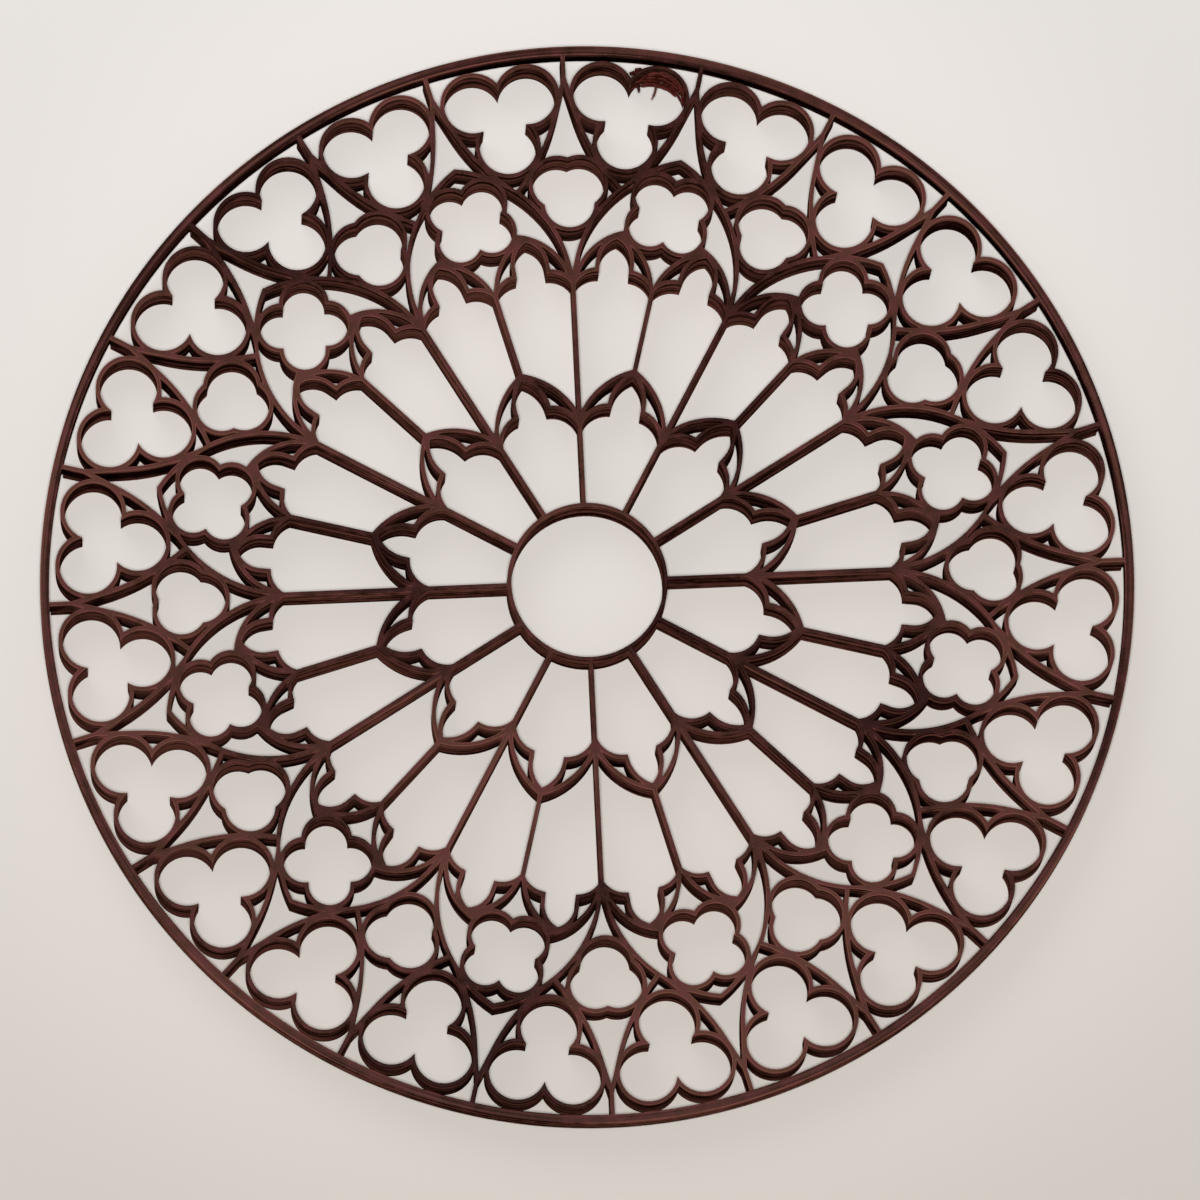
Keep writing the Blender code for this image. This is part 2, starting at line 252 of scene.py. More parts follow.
class Round:
    """A wall's face on a circle, drawn in the frame whose axis is at "turn" degrees.

    inside is True where the opening lies within the circle.
    """

    def __init__(self, turn, x, y, radius, inside, facets=None, wall=WALL, thicken=0.0):
        self.args = (turn, x, y, radius, inside, facets, wall)
        self.frame = math.radians(turn)
        self.centre = turned((x, y), turn)
        half = wall / 2 + thicken
        self.radius = radius - half if inside else radius + half
        self.inside = inside
        self.step = math.tau / (facets or even_facets(radius))

    def thicker(self, amount):
        return Round(*self.args, thicken=amount)

    def angle(self, point):
        return math.atan2(point[0] - self.centre[0], point[1] - self.centre[1]) - self.frame

    def point(self, angle):
        x = self.centre[0] + self.radius * math.sin(angle + self.frame)
        y = self.centre[1] + self.radius * math.cos(angle + self.frame)
        return (x, y)

    def direction(self, point):
        """The way that the opening's outline runs here."""
        way = 1 if self.inside else -1
        x, y = point[0] - self.centre[0], point[1] - self.centre[1]
        return (way * y / self.radius, -way * x / self.radius)

    def walk(self, start, end):
        """Points between start and end, on whole steps of the circle."""
        way = 1 if self.inside else -1
        first = way * self.angle(start)
        span = (way * self.angle(end) - first) % math.tau
        spare = self.step * LEAST_FACET
        count = math.floor(first / self.step) + 1
        points = []
        while count * self.step - first < span - spare:
            if count * self.step - first > spare:
                points.append(self.point(way * count * self.step))
            count += 1
        return points


def even_facets(radius):
    """The even number of facets that keeps a circle's facets within FACET_DEPTH."""
    return 2 * math.ceil(math.pi / (2 * math.acos(1 - FACET_DEPTH / radius)))


def turned(point, degrees):
    """A point of a frame whose axis is at "degrees", clockwise of +Y, in the panel."""
    c, s = math.cos(math.radians(degrees)), math.sin(math.radians(degrees))
    return (point[0] * c + point[1] * s, -point[0] * s + point[1] * c)


def arch(turn, form, side, inside):
    """One side of a pointed arch: side is -1 for the left arc and +1 for the right."""
    return Round(turn, -side * form["past"], form["height"], form["radius"], inside)


def foil(turn, form, side, inside):
    """One lobe: side is -1 or +1."""
    return Round(turn, side * form["aside"], form["height"], form["radius"], inside)


def stilt(turn, form, side, inside):
    """The straight side below a pointed head, on the head's widest line."""
    aside = side * (form["radius"] - form["past"])
    return Straight(turn, -side if inside else side, aside)


def cup_run(turn, side, inside):
    """The straight top of the cup arch, a tangent that ends on the bar beside it."""
    end = turned((0.0, CUP_TOP), QUARTER)
    x, y = end[0] + CUP_ARCH["past"], end[1] - CUP_ARCH["height"]
    lean = math.atan2(x, y) - math.asin(CUP_ARCH["radius"] / math.hypot(x, y))
    aside = end[0] * math.cos(lean) - end[1] * math.sin(lean)
    return Straight(turn + side * math.degrees(lean), -side if inside else side, side * aside)


def meetings(a, b):
    """The two points where edges a and b cross, or touch."""
    if isinstance(a, Straight):
        a, b = b, a
    if isinstance(b, Straight):
        x, y = b.origin[0] - a.centre[0], b.origin[1] - a.centre[1]
        run = x * b.along[0] + y * b.along[1]
        reach = math.sqrt(max(run * run - x * x - y * y + a.radius ** 2, 0.0))
        runs = (-run - reach, -run + reach)
        return [(b.origin[0] + r * b.along[0], b.origin[1] + r * b.along[1]) for r in runs]
    x, y = b.centre[0] - a.centre[0], b.centre[1] - a.centre[1]
    gap = math.hypot(x, y)
    run = (gap * gap + a.radius ** 2 - b.radius ** 2) / (2 * gap)
    reach = math.sqrt(a.radius ** 2 - run * run)
    x, y = x / gap, y / gap
    return [
        (a.centre[0] + x * run - way * y * reach, a.centre[1] + y * run + way * x * reach)
        for way in (1, -1)
    ]


def straight_meeting(a, b):
    """The point where two straight edges cross."""
    cross = a.along[0] * b.along[1] - a.along[1] * b.along[0]
    x, y = b.origin[0] - a.origin[0], b.origin[1] - a.origin[1]
    run = (x * b.along[1] - y * b.along[0]) / cross
    return (a.origin[0] + run * a.along[0], a.origin[1] + run * a.along[1])


def corner(a, b, turn, pick):
    """The crossing of a and b that lies outermost, innermost, leftmost or rightmost."""
    if isinstance(a, Straight) and isinstance(b, Straight):
        return straight_meeting(a, b)
    order = {
        "out": lambda p: turned(p, -turn)[1],
        "in": lambda p: -turned(p, -turn)[1],
        "right": lambda p: turned(p, -turn)[0],
        "left": lambda p: -turned(p, -turn)[0],
    }
    return max(meetings(a, b), key=order[pick])


def opening_corner(a, b, turn, pick):
    """A corner, drawn back to the slot's least width where its walls run together."""
    sharp = corner(a, b, turn, pick)
    u, v = a.direction(sharp), b.direction(sharp)
    bend = math.atan2(v[0] * u[1] - v[1] * u[0], u[0] * v[0] + u[1] * v[1])
    if math.pi - bend > math.radians(ACUTE_CORNER):
        return sharp
    spare = NARROWEST_SLOT / 2
    return corner(a.thicker(spare), b.thicker(spare), turn, pick)


def piercing(turn, edges):
    """The outline of an opening, walked clockwise.

    edges pairs each edge with the pick of the corner where it starts.
    """
    corners = []
    for index, (edge, pick) in enumerate(edges):
        corners.append(opening_corner(edges[index - 1][0], edge, turn, pick))
    outline = []
    for index, (edge, _) in enumerate(edges):
        outline.append(corners[index])
        outline += edge.walk(corners[index], corners[(index + 1) % len(edges)])
    return outline


def mirrored(outline, turn):
    """The outline's reflection in the axis at "turn" degrees, still clockwise."""
    flat = [turned(point, -turn) for point in reversed(outline)]
    return [turned((-x, y), turn) for x, y in flat]


def circle(radius, facets):
    return [turned((0.0, radius), index * 360 / facets) for index in range(facets)]


def petal(axis):
    """The cusped light between two main spokes and the hub."""
    hub = Round(axis, 0.0, 0.0, HUB_RADIUS, False)
    return piercing(axis, [
        (Straight(axis - HALF, 1), "out"),
        (foil(axis, PETAL_SHOULDER, -1, True), "out"),
        (stilt(axis, PETAL_HEAD, -1, True), "out"),
        (arch(axis, PETAL_HEAD, -1, True), "out"),
        (arch(axis, PETAL_HEAD, 1, True), "out"),
        (stilt(axis, PETAL_HEAD, 1, True), "out"),
        (foil(axis, PETAL_SHOULDER, 1, True), "out"),
        (Straight(axis + HALF, -1), "out"),
        (hub, "out"),
    ])


def petal_spandrel(axis):
    """The sliver between a petal's arch and its cusped head, on the left side."""
    return piercing(axis, [
        (arch(axis, PETAL_ARCH, -1, True), "out"),
        (arch(axis, PETAL_HEAD, -1, False), "in"),
        (stilt(axis, PETAL_HEAD, -1, False), "out"),
        (foil(axis, PETAL_SHOULDER, -1, False), "out"),
    ])


def lancet(axis):
    """The cusped light between a main spoke, on the left, and a petal's own spoke."""
    return piercing(axis, [
        (Straight(axis - QUARTER, 1), "out"),
        (foil(axis, LANCET_SHOULDER, -1, True), "out"),
        (stilt(axis, LANCET_HEAD, -1, True), "out"),
        (arch(axis, LANCET_HEAD, -1, True), "out"),
        (arch(axis, LANCET_HEAD, 1, True), "out"),
        (stilt(axis, LANCET_HEAD, 1, True), "out"),
        (foil(axis, LANCET_SHOULDER, 1, True), "out"),
        (Straight(axis + QUARTER, -1), "out"),
        (arch(axis + QUARTER, PETAL_ARCH, -1, False), "out"),
    ])


def lancet_spandrel(axis):
    """The sliver between a lancet's arch and its cusped head, on the left side."""
    return piercing(axis, [
        (arch(axis, LANCET_ARCH, -1, True), "left"),
        (arch(axis, LANCET_HEAD, -1, False), "in"),
        (stilt(axis, LANCET_HEAD, -1, False), "out"),
        (foil(axis, LANCET_SHOULDER, -1, False), "out"),
    ])


def lancet_kite(axis):
    """The kite between a quatrefoil and the two lancets below it."""
    return piercing(axis, [
        (arch(axis - QUARTER, LANCET_ARCH, 1, False), "out"),
        (foil(axis, QUATREFOIL_INNER, -1, False), "right"),
        (foil(axis, QUATREFOIL_INNER, 1, False), "in"),
        (arch(axis + QUARTER, LANCET_ARCH, -1, False), "left"),
    ])


def quatrefoil(axis):
    return piercing(axis, [
        (foil(axis, QUATREFOIL_OUTER, -1, True), "left"),
        (foil(axis, QUATREFOIL_OUTER, 1, True), "out"),
        (foil(axis, QUATREFOIL_INNER, 1, True), "right"),
        (foil(axis, QUATREFOIL_INNER, -1, True), "in"),
    ])


def quatrefoil_cap(axis):
    """The sliver between a quatrefoil and the point of the bay's arch."""
    return piercing(axis, [
        (arch(axis, BAY_ARCH, -1, True), "out"),
        (arch(axis, BAY_ARCH, 1, True), "out"),
        (foil(axis, QUATREFOIL_OUTER, 1, False), "out"),
        (foil(axis, QUATREFOIL_OUTER, -1, False), "out"),
    ])


def quatrefoil_dagger(axis):
    """The dagger between a quatrefoil, the bay's arch and a lancet, on the left side."""
    return piercing(axis, [
        (arch(axis, BAY_ARCH, -1, True), "out"),
        (foil(axis, QUATREFOIL_OUTER, -1, False), "in"),
        (foil(axis, QUATREFOIL_INNER, -1, False), "left"),
        (arch(axis - QUARTER, LANCET_ARCH, -1, False), "left"),
    ])


def small_trefoil(axis):
    return piercing(axis, [
        (foil(axis, SMALL_TREFOIL_OUTER, -1, True), "left"),
        (foil(axis, SMALL_TREFOIL_OUTER, 1, True), "out"),
        (foil(axis, SMALL_TREFOIL_INNER, 1, True), "right"),
    ])


def small_trefoil_foot(axis):
    """The triangle below a small trefoil, between two bay arches."""
    return piercing(axis, [
        (arch(axis - HALF, BAY_ARCH, 1, False), "out"),
        (foil(axis, SMALL_TREFOIL_INNER, 1, False), "in"),
        (arch(axis + HALF, BAY_ARCH, -1, False), "in"),
    ])


def small_trefoil_side(axis):
    """The slot beside a small trefoil, on the right side."""
    return piercing(axis, [
        (foil(axis, SMALL_TREFOIL_INNER, 1, False), "out"),
        (foil(axis, SMALL_TREFOIL_OUTER, 1, False), "right"),
        (arch(axis + QUARTER, CUP_ARCH, -1, False), "in"),
        (arch(axis + HALF, BAY_ARCH, -1, False), "out"),
    ])


def gable(axis, left_foot, right_foot):
    """The tall triangle between two cup arches, standing on the two feet given."""
    return piercing(axis, [
        (arch(axis - QUARTER, CUP_ARCH, 1, False), "out"),
        (cup_run(axis - QUARTER, 1, False), "out"),
        (cup_run(axis + QUARTER, -1, False), "out"),
        (arch(axis + QUARTER, CUP_ARCH, -1, False), "out"),
        (right_foot, "out"),
        (left_foot, "out"),
    ])


def large_trefoil(axis):
    return piercing(axis, [
        (foil(axis, LARGE_TREFOIL_OUTER, -1, True), "left"),
        (foil(axis, LARGE_TREFOIL_OUTER, 1, True), "out"),
        (foil(axis, LARGE_TREFOIL_INNER, 1, True), "right"),
    ])


def cup_spandrel(axis):
    """The sliver between a large trefoil and its cup arch, on the right side."""
    return piercing(axis, [
        (foil(axis, LARGE_TREFOIL_OUTER, 1, False), "right"),
        (arch(axis, CUP_ARCH, 1, True), "in"),
        (foil(axis, LARGE_TREFOIL_INNER, 1, False), "out"),
    ])


def cup_point(axis):
    """The slot below a large trefoil, in the point of its cup arch."""
    return piercing(axis, [
        (foil(axis, LARGE_TREFOIL_INNER, 1, False), "in"),
        (arch(axis, CUP_ARCH, 1, True), "in"),
        (arch(axis, CUP_ARCH, -1, True), "in"),
    ])


def rim_spandrel(axis):
    """The opening between the rim, two bars and the shoulders of a large trefoil."""
    rim = Round(axis, 0.0, 0.0, RIM_INNER_RADIUS, True, RIM_FACETS, wall=0.0)
    return piercing(axis, [
        (Straight(axis - QUARTER, 1), "out"),
        (rim, "out"),
        (Straight(axis + QUARTER, -1), "out"),
        (cup_run(axis, 1, True), "out"),
        (foil(axis, LARGE_TREFOIL_OUTER, 1, False), "out"),
        (foil(axis, LARGE_TREFOIL_OUTER, -1, False), "out"),
        (cup_run(axis, -1, True), "out"),
    ])


def bay_piercings():
    """Every opening of one bay: on the main spoke, on the petal, and between them."""
    outer_left, outer_right = (
        foil(0, SMALL_TREFOIL_OUTER, side, False) for side in (-1, 1)
    )
    point_left, point_right = (arch(HALF, BAY_ARCH, side, False) for side in (-1, 1))
    outlines = [
        small_trefoil(0),
        small_trefoil_foot(0),
        gable(0, outer_left, outer_right),
        petal(HALF),
        lancet_kite(HALF),
        quatrefoil(HALF),
        quatrefoil_cap(HALF),
        gable(HALF, point_left, point_right),
    ]
    for outline in (petal_spandrel(HALF), quatrefoil_dagger(HALF)):
        outlines += [outline, mirrored(outline, HALF)]
    for outline in (
        small_trefoil_side(0),
        lancet(QUARTER),
        large_trefoil(QUARTER),
        cup_point(QUARTER),
        rim_spandrel(QUARTER),
    ):
        outlines += [outline, mirrored(outline, 0)]
    for spandrel in (lancet_spandrel(QUARTER), cup_spandrel(QUARTER)):
        for outline in (spandrel, mirrored(spandrel, QUARTER)):
            outlines += [outline, mirrored(outline, 0)]
    return outlines


def placed(name, data):
    """A new object of the scene."""
    thing = bpy.data.objects.new(name, data)
    bpy.context.scene.collection.objects.link(thing)
    return thing


def evaluated_mesh(thing):
    """The object's surface as a new mesh, with its modifiers applied."""
    bpy.context.view_layer.update()
    evaluated = thing.evaluated_get(bpy.context.evaluated_depsgraph_get())
    return bpy.data.meshes.new_from_object(evaluated)


def curve_mesh(name, curve):
    """The curve's surface as a mesh of the given name."""
    drawn = placed(name, curve)
    mesh = evaluated_mesh(drawn)
    bpy.data.objects.remove(drawn)
    mesh.name = name
    return mesh


def form_mesh(name, form):
    """The bmesh as a mesh of the given name."""
    mesh = bpy.data.meshes.new(name)
    form.to_mesh(mesh)
    form.free()
    return mesh


def add_path(curve, places):
    """A run of straight pieces through the places."""
    spline = curve.splines.new("POLY")
    spline.points.add(len(places) - 1)
    for point, place in zip(spline.points, places):
        point.co = (*place, 1.0)
    return spline


def build_plate(name, outlines, base, depth, edge_round=0.0):
    """A flat plate pierced by outlines, from z = base up, as a closed mesh object.

    edge_round, in the outlines' units, rounds its upper and lower edges.
    """
    curve = bpy.data.curves.new(name, "CURVE")
    curve.dimensions = "2D"
    curve.fill_mode = "BOTH"
    curve.extrude = depth / 2 / UNIT - edge_round
    curve.bevel_depth = edge_round
    curve.bevel_resolution = 1
    curve.offset = -edge_round
    for outline in outlines:
        spline = add_path(curve, [(x, y, 0.0) for x, y in outline])
        spline.use_cyclic_u = True
    mesh = curve_mesh(name, curve)
    mesh.transform(Matrix.Translation((0, 0, base + depth / 2)) @ Matrix.Scale(UNIT, 4))
    form = bmesh.new()
    form.from_mesh(mesh)
    bmesh.ops.remove_doubles(form, verts=form.verts, dist=WELD)
    caps = [face for face in form.faces if len(face.verts) == 3]
    seams = [edge for edge in form.edges if all(len(f.verts) == 3 for f in edge.link_faces)]
    bmesh.ops.beautify_fill(form, faces=caps, edges=seams)
    bmesh.ops.recalc_face_normals(form, faces=form.faces)
    form.to_mesh(mesh)
    form.free()
    return placed(name, mesh)


def cut_rim_relief(panel):
    """Cuts the rim's underside back, so that the rim is shallower than the tracery."""
    inner = RIM_INNER_RADIUS - RELIEF_OVERLAP
    band = [circle(RELIEF_RADIUS, RIM_FACETS), circle(inner, RIM_FACETS)]
    height = PANEL_DEPTH - RIM_DEPTH
    relief = build_plate("rim_relief", band, -RELIEF_BELOW, RELIEF_BELOW + height)
    cut = panel.modifiers.new("rim_relief", "BOOLEAN")
    cut.operation = "DIFFERENCE"
    cut.solver = "EXACT"
    cut.object = relief
    mesh = evaluated_mesh(panel)
    panel.modifiers.clear()
    panel.data = mesh
    bpy.data.objects.remove(relief)


def build_tracery():
    """The whole panel, with the bay's openings turned round the hub."""
    outlines = [circle(RIM_RADIUS / UNIT, RIM_FACETS)]
    outlines.append(circle(HUB_RADIUS - WALL / 2, HUB_FACETS))
    for outline in bay_piercings():
        for bay in range(BAYS):
            outlines.append([turned(point, bay * BAY) for point in outline])
    tracery = build_plate("tracery", outlines, 0.0, PANEL_DEPTH, EDGE_ROUND / UNIT)
    cut_rim_relief(tracery)
    return tracery


def build_strands(name, paths, radius):
    """Round strands along the given paths, with thin ends, as one mesh object."""
    curve = bpy.data.curves.new(name, "CURVE")
    curve.dimensions = "3D"
    curve.bevel_depth = radius
    curve.bevel_resolution = 1
    curve.use_fill_caps = True
    for path in paths:
        points = add_path(curve, path).points
        for index, point in enumerate(points):
            from_end = min(index, len(path) - 1 - index)
            point.radius = min(1.0, STRAND_TIP + from_end / STRAND_TAPER_STEPS)
    mesh = curve_mesh(name, curve)
    form = bmesh.new()
    form.from_mesh(mesh)
    bmesh.ops.recalc_face_normals(form, faces=form.faces)
    form.to_mesh(mesh)
    form.free()
    mesh.shade_smooth()
    return placed(name, mesh)


def wad_paths(lobe):
    """Paths of the failed strands that hang inside one lobe of a large trefoil."""
    draw = random.Random(WAD_SEED)
    paths = []
    for number in range(WAD_STRANDS):
        share = (number + 0.5) / WAD_STRANDS
        level = draw.uniform(*WAD_LEVELS)
        start = draw.uniform(*WAD_STARTS)
        end = draw.uniform(*WAD_ENDS)
        wave_start = draw.uniform(*WAD_WAVE_STARTS)
        path = []
        for step in range(WAD_STEPS + 1):
            along = start + (end - start) * step / WAD_STEPS
            angle = math.radians(WAD_ARC[0] + (WAD_ARC[1] - WAD_ARC[0]) * along)
            sag = share * WAD_SAG * math.sin(math.pi * along) ** WAD_SAG_POWER
            spot = Vector((along * WAD_WAVES, wave_start, number * WAD_WAVE_SHIFT))
            reach = lobe.radius - WAD_WALL_GAP - sag + WAD_WAVE_ACROSS * noise.noise(spot)
            rise = level * PANEL_DEPTH + WAD_WAVE_UP * noise.noise(-spot)
            x = lobe.centre[0] + reach * math.sin(angle)
            y = lobe.centre[1] + reach * math.cos(angle)
            path.append((x * UNIT, y * UNIT, min(rise, PANEL_DEPTH - WAD_TOP_GAP)))
        paths.append(path)
    return paths


def hanging_path(start, end, bow):
    """A short free end from start to end, bowed sideways."""
    path = []
    for step in range(HANGING_STEPS + 1):
        along = step / HANGING_STEPS
        place = Vector(start).lerp(Vector(end), along)
        place.x += bow * math.sin(math.pi * along)
        path.append([part * UNIT for part in place])
    return path


def build_beads(name, places, radius):
    """Small dented blobs of plastic stuck beside a wall."""
    form = bmesh.new()
    for place in places:
        bead = bmesh.ops.create_icosphere(form, subdivisions=2, radius=radius)
        for vert in bead["verts"]:
            dent = noise.noise(vert.co * BEAD_DENTS_PER_METRE + Vector(place))
            vert.co *= 1.0 + BEAD_DENT * dent
            vert.co += Vector(place) * UNIT
    mesh = form_mesh(name, form)
    mesh.shade_smooth()
    return placed(name, mesh)


def math_node(tree, operation, first, second):
    """One operation on two values, each a number or a node's output."""
    node = tree.nodes.new("ShaderNodeMath")
    node.operation = operation
    for socket, value in zip(node.inputs, (first, second)):
        if isinstance(value, float):
            socket.default_value = value
        else:
            tree.links.new(value, socket)
    return node.outputs[0]


def vector_node(tree, operation, *values):
    """One operation on the vectors that the given outputs hold."""
    node = tree.nodes.new("ShaderNodeVectorMath")
    node.operation = operation
    for socket, value in zip(node.inputs, values):
        tree.links.new(value, socket)
    return node


def split_vector(tree, vector):
    """The vector's X, Y and Z, by name."""
    node = tree.nodes.new("ShaderNodeSeparateXYZ")
    tree.links.new(vector, node.inputs[0])
    return node.outputs


def joined_vector(tree, **parts):
    """A vector from the outputs given as X, Y and Z, with 0 for one left out."""
    node = tree.nodes.new("ShaderNodeCombineXYZ")
    for name, value in parts.items():
        tree.links.new(value, node.inputs[name])
    return node.outputs[0]


def noise_value(tree, place, detail):
    """Smooth noise from 0 to 1, with one bump to each unit of the place."""
    node = tree.nodes.new("ShaderNodeTexNoise")
    node.inputs["Scale"].default_value = 1.0
    node.inputs["Detail"].default_value = detail
    tree.links.new(place, node.inputs["Vector"])
    return node.outputs["Fac"]


def rescaled(tree, value, given=(0.0, 1.0), wanted=(0.0, 1.0), interpolation="LINEAR"):
    """The value, mapped from the range "given" to the range "wanted"."""
    node = tree.nodes.new("ShaderNodeMapRange")
    node.interpolation_type = interpolation
    names = ("From Min", "From Max", "To Min", "To Max")
    for name, number in zip(names, (*given, *wanted)):
        node.inputs[name].default_value = number
    tree.links.new(value, node.inputs["Value"])
    return node.outputs["Result"]


def ramp(tree, value, turn, colours):
    """The first colour below the range "turn" of the value, and the second above it."""
    node = tree.nodes.new("ShaderNodeValToRGB")
    for stop, place, colour in zip(node.color_ramp.elements, turn, colours):
        stop.position = place
        stop.color = (*colour, 1.0)
    tree.links.new(value, node.inputs["Fac"])
    return node.outputs["Color"]


def blended(tree, factor, first, second):
    """A mix of two colours, each three numbers or a node's output."""
    node = tree.nodes.new("ShaderNodeMix")
    node.data_type = "RGBA"
    tree.links.new(factor, node.inputs["Factor"])
    for name, colour in (("A", first), ("B", second)):
        if isinstance(colour, tuple):
            node.inputs[name].default_value = (*colour, 1.0)
        else:
            tree.links.new(colour, node.inputs[name])
    return node.outputs["Result"]


def new_material(name):
    """A material, its node tree and its shader."""
    material = bpy.data.materials.new(name)
    material.use_nodes = True
    return material, material.node_tree, material.node_tree.nodes["Principled BSDF"]


def build_print_layers():
    """A node group with the marks of printing, which the finishes share.

    Streaks run along the layers, and round the rim where they show on its top.
    Ridges are the layers themselves.  Grain is fine mottling, Patches broad.
    """
    group = bpy.data.node_groups.new("print_layers", "ShaderNodeTree")
    for name, value in (("Layers per Metre", LAYERS), ("Streaks per Metre", WALL_STREAKS)):
        socket = group.interface.new_socket(name, in_out="INPUT", socket_type="NodeSocketFloat")
        socket.default_value = value
    for name in ("Streaks", "Ridges", "Grain", "Patches"):
        group.interface.new_socket(name, in_out="OUTPUT", socket_type="NodeSocketFloat")
    given = group.nodes.new("NodeGroupInput")
    made = group.nodes.new("NodeGroupOutput")
    place = group.nodes.new("ShaderNodeTexCoord").outputs["Object"]
    spot = split_vector(group, place)

    def scaled(in_plane, upwards):
        """The place, multiplied by one number in the panel's plane and another in Z."""
        x = math_node(group, "MULTIPLY", spot["X"], in_plane)
        y = math_node(group, "MULTIPLY", spot["Y"], in_plane)
        z = math_node(group, "MULTIPLY", spot["Z"], upwards)
        return joined_vector(group, X=x, Y=y, Z=z)

    flat = joined_vector(group, X=spot["X"], Y=spot["Y"])
    reach = vector_node(group, "LENGTH", flat).outputs["Value"]
    across_rim = math_node(group, "SUBTRACT", reach, RIM_LINES_FROM * UNIT)
    outward = math_node(group, "MAXIMUM", across_rim, 0.0)
    rim_lines = joined_vector(group, Z=math_node(group, "MULTIPLY", outward, RIM_LINES))
    layers = scaled(STREAK_LENGTHS, given.outputs["Streaks per Metre"])
    streaks = vector_node(group, "ADD", layers, rim_lines).outputs["Vector"]
    ridges = scaled(LAYER_WAVES, given.outputs["Layers per Metre"])
    marks = {
        "Streaks": noise_value(group, streaks, STREAK_DETAIL),
        "Ridges": noise_value(group, ridges, LAYER_DETAIL),
        "Grain": noise_value(group, scaled(GRAIN, GRAIN), MOTTLE_DETAIL),
        "Patches": noise_value(group, scaled(PATCHES, PATCHES), MOTTLE_DETAIL),
    }
    for name, value in marks.items():
        group.links.new(value, made.inputs[name])
    return group


def build_plastic(name, print_layers, sides, tops, streaks):
    """Printed plastic: streaked along its layers, with a flatter, glossier top face whose own
    colours paint in its sheen.

    sides and tops are each the colours of the dark and the light streaks; the tops' colours also
    hold a painted sheen.
    """
    material, tree, shader = new_material(name)
    marks = tree.nodes.new("ShaderNodeGroup")
    marks.node_tree = print_layers
    marks.inputs["Streaks per Metre"].default_value = streaks
    grain, patches = marks.outputs["Grain"], marks.outputs["Patches"]

    mottled = marks.outputs["Streaks"]
    for mark, spread in ((grain, GRAIN_SPREAD), (patches, PATCH_SPREAD)):
        shift = rescaled(tree, mark, wanted=(-spread, spread))
        mottled = math_node(tree, "ADD", mottled, shift)
    normal = tree.nodes.new("ShaderNodeNewGeometry").outputs["Normal"]
    # Facing mask: upward faces take the tops' colours, a painted sheen, and the coat's gloss
    top_sheen_mask = rescaled(tree, split_vector(tree, normal)["Z"], TOP_SHEEN_FACING)
    side = ramp(tree, mottled, SIDE_TURN, sides)
    top = ramp(tree, mottled, TOP_TURN, tops)
    tint = ramp(tree, patches, TINT_TURN, PATCH_TINTS)
    colour = vector_node(tree, "MULTIPLY", blended(tree, top_sheen_mask, side, top), tint)
    tree.links.new(colour.outputs["Vector"], shader.inputs["Base Color"])

    tree.links.new(rescaled(tree, grain, wanted=ROUGHNESS), shader.inputs["Roughness"])
    gloss = math_node(tree, "MULTIPLY", top_sheen_mask, TOP_GLOSS)
    tree.links.new(gloss, shader.inputs["Coat Weight"])
    shader.inputs["Coat Roughness"].default_value = TOP_GLOSS_ROUGHNESS
    shader.inputs["Specular IOR Level"].default_value = 0.0

    bump = tree.nodes.new("ShaderNodeBump")
    bump.inputs["Strength"].default_value = LAYER_STRENGTH
    bump.inputs["Distance"].default_value = LAYER_RELIEF
    tree.links.new(marks.outputs["Ridges"], bump.inputs["Height"])
    tree.links.new(bump.outputs["Normal"], shader.inputs["Normal"])
    return material


def build_floor():
    """A plain pale board with painted light: lighter towards its far side, and dimmer beyond the
    panel where a painted pool of light ends.
    """
    form = bmesh.new()
    bmesh.ops.create_grid(form, x_segments=1, y_segments=1, size=FLOOR_SIZE / 2)
    floor = placed("floor", form_mesh("floor", form))
    material, tree, shader = new_material("pale_board_painted_light")
    place = tree.nodes.new("ShaderNodeTexCoord").outputs["Object"]
    # Painted light falloff: the board is darker near and lighter far
    far = rescaled(tree, split_vector(tree, place)["Y"], FLOOR_PAINTED_SHADE_SPAN)
    reach = vector_node(tree, "LENGTH", place).outputs["Value"]
    # Painted pool of light: the board dims outwards beyond the panel
    painted_light_pool = rescaled(tree, reach, FLOOR_PAINTED_LIGHT_POOL, (1.0, FLOOR_PAINTED_POOL_EDGE), "SMOOTHSTEP")
    board = vector_node(tree, "MULTIPLY", blended(tree, far, FLOOR_NEAR_PAINTED_SHADE, FLOOR_FAR_PAINTED_LIGHT), painted_light_pool)
    tree.links.new(board.outputs["Vector"], shader.inputs["Base Color"])
    shader.inputs["Roughness"].default_value = FLOOR_ROUGHNESS
    shader.inputs["Specular IOR Level"].default_value = FLOOR_SPECULAR
    floor.data.materials.append(material)


def build_light(name, place, target, size, power, colour):
    """A round soft light at a place, turned towards its target."""
    light = bpy.data.lights.new(name, "AREA")
    light.shape = "DISK"
    light.size = size
    light.energy = power
    light.color = colour
    lamp = placed(name, light)
    lamp.location = place
    lamp.rotation_mode = "QUATERNION"
    lamp.rotation_quaternion = (Vector(target) - Vector(place)).to_track_quat("-Z", "Y")


def build_world():
    world = bpy.data.worlds.new("studio")
    world.use_nodes = True
    background = world.node_tree.nodes["Background"]
    background.inputs["Color"].default_value = (*ROOM_COLOUR, 1.0)
    background.inputs["Strength"].default_value = ROOM_STRENGTH
    bpy.context.scene.world = world


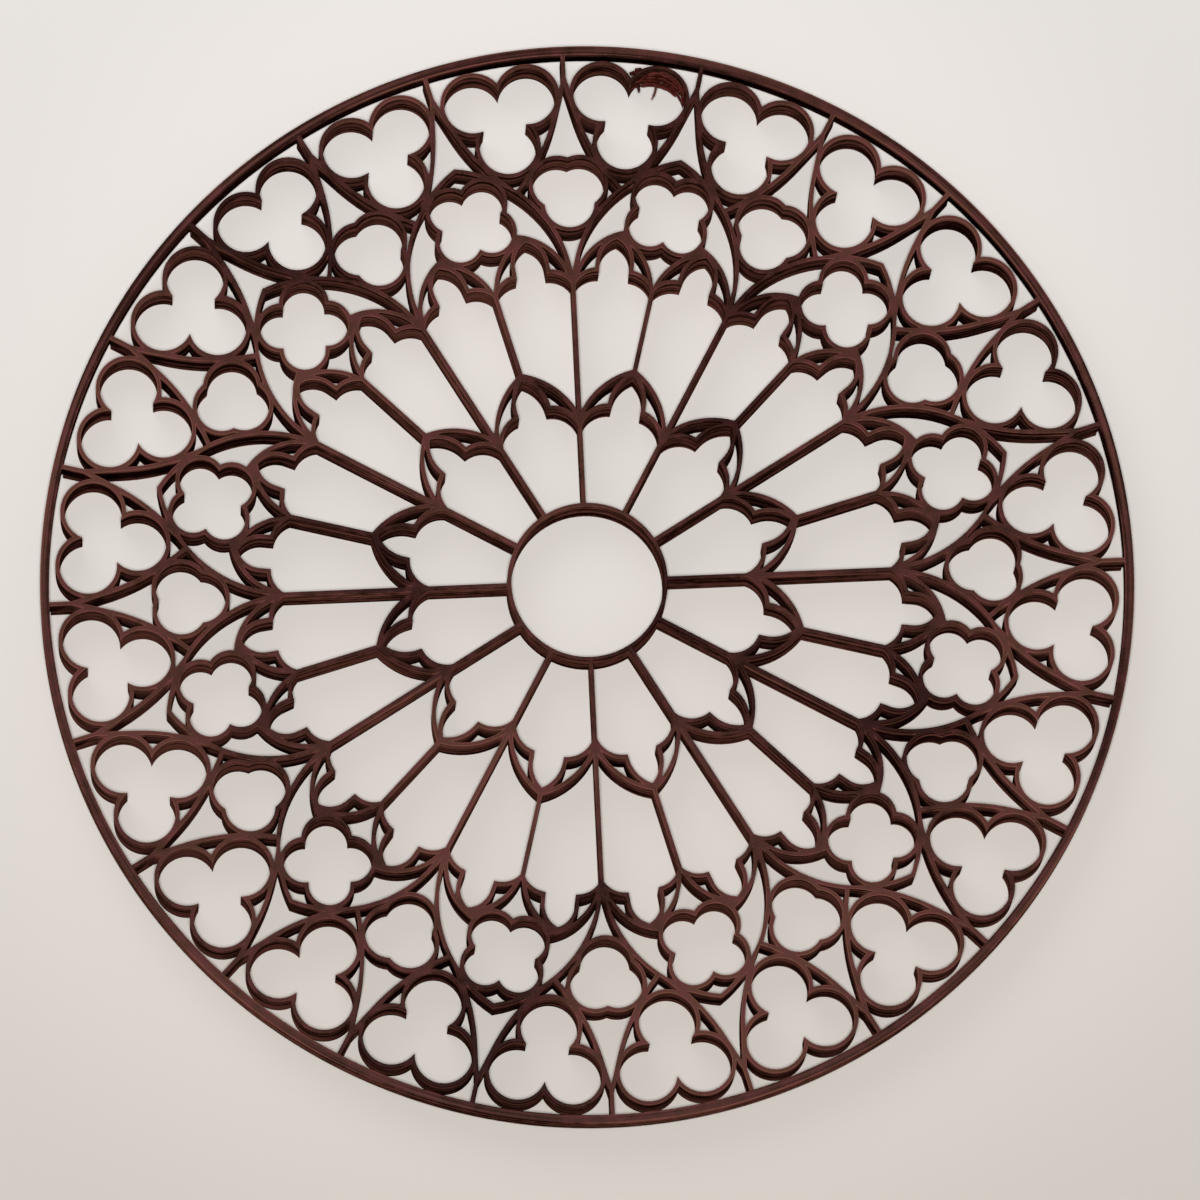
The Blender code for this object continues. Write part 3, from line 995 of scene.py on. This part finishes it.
def viewing_direction():
    """From the panel towards the camera."""
    azimuth, elevation = math.radians(CAMERA_AZIMUTH), math.radians(CAMERA_ELEVATION)
    return Vector((
        math.sin(azimuth) * math.cos(elevation),
        -math.cos(azimuth) * math.cos(elevation),
        math.sin(elevation),
    ))


def build_camera():
    back = viewing_direction()
    camera = placed("camera", bpy.data.cameras.new("camera"))
    camera.data.sensor_width = CAMERA_SENSOR
    camera.data.lens = CAMERA_LENS
    camera.data.clip_start = CAMERA_CLIP[0]
    camera.data.clip_end = CAMERA_CLIP[1]
    camera.location = Vector(CAMERA_TARGET) + back * CAMERA_DISTANCE
    camera.rotation_mode = "QUATERNION"
    level = back.to_track_quat("Z", "Y")
    camera.rotation_quaternion = level @ Quaternion((0, 0, 1), math.radians(CAMERA_ROLL))
    bpy.context.scene.camera = camera


def finish_piece(piece, material):
    """Gives a piece its plastic and the body that it rides on."""
    piece.data.materials.clear()
    piece.data.materials.append(material)
    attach(piece, "root")


def main():
    print_layers = build_print_layers()
    # The brown plastic's top colours paint in a sheen of light on the panel's top faces
    brown = build_plastic("red_brown_plastic_painted_sheen", print_layers, WALL_SIDES, WALL_TOPS_PAINTED_SHEEN, WALL_STREAKS)
    red = build_plastic(
        "loose_red_plastic", print_layers, LOOSE_PLASTIC, LOOSE_PLASTIC, WAD_STREAKS
    )

    tracery = build_tracery()
    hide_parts("tracery_panel")
    finish_piece(tracery, brown)

    lobe = foil(QUARTER, LARGE_TREFOIL_OUTER, 1, True)
    finish_piece(build_strands("loose_strands", wad_paths(lobe), STRAND_RADIUS), red)
    hanging = [hanging_path(*end) for end in HANGING_ENDS]
    finish_piece(build_strands("loose_ends", hanging, HANGING_RADIUS), brown)
    finish_piece(build_beads("loose_beads", BEADS, BEAD_RADIUS), red)

    build_floor()
    overhead = viewing_direction() * KEY_DISTANCE
    build_light("key", overhead, (0, 0, 0), KEY_SIZE, KEY_POWER, KEY_COLOUR)
    build_light("fill", FILL_PLACE, FILL_TARGET, FILL_SIZE, FILL_POWER, FILL_COLOUR)
    build_world()
    build_camera()
    bpy.context.scene.view_settings.view_transform = "Standard"


main()
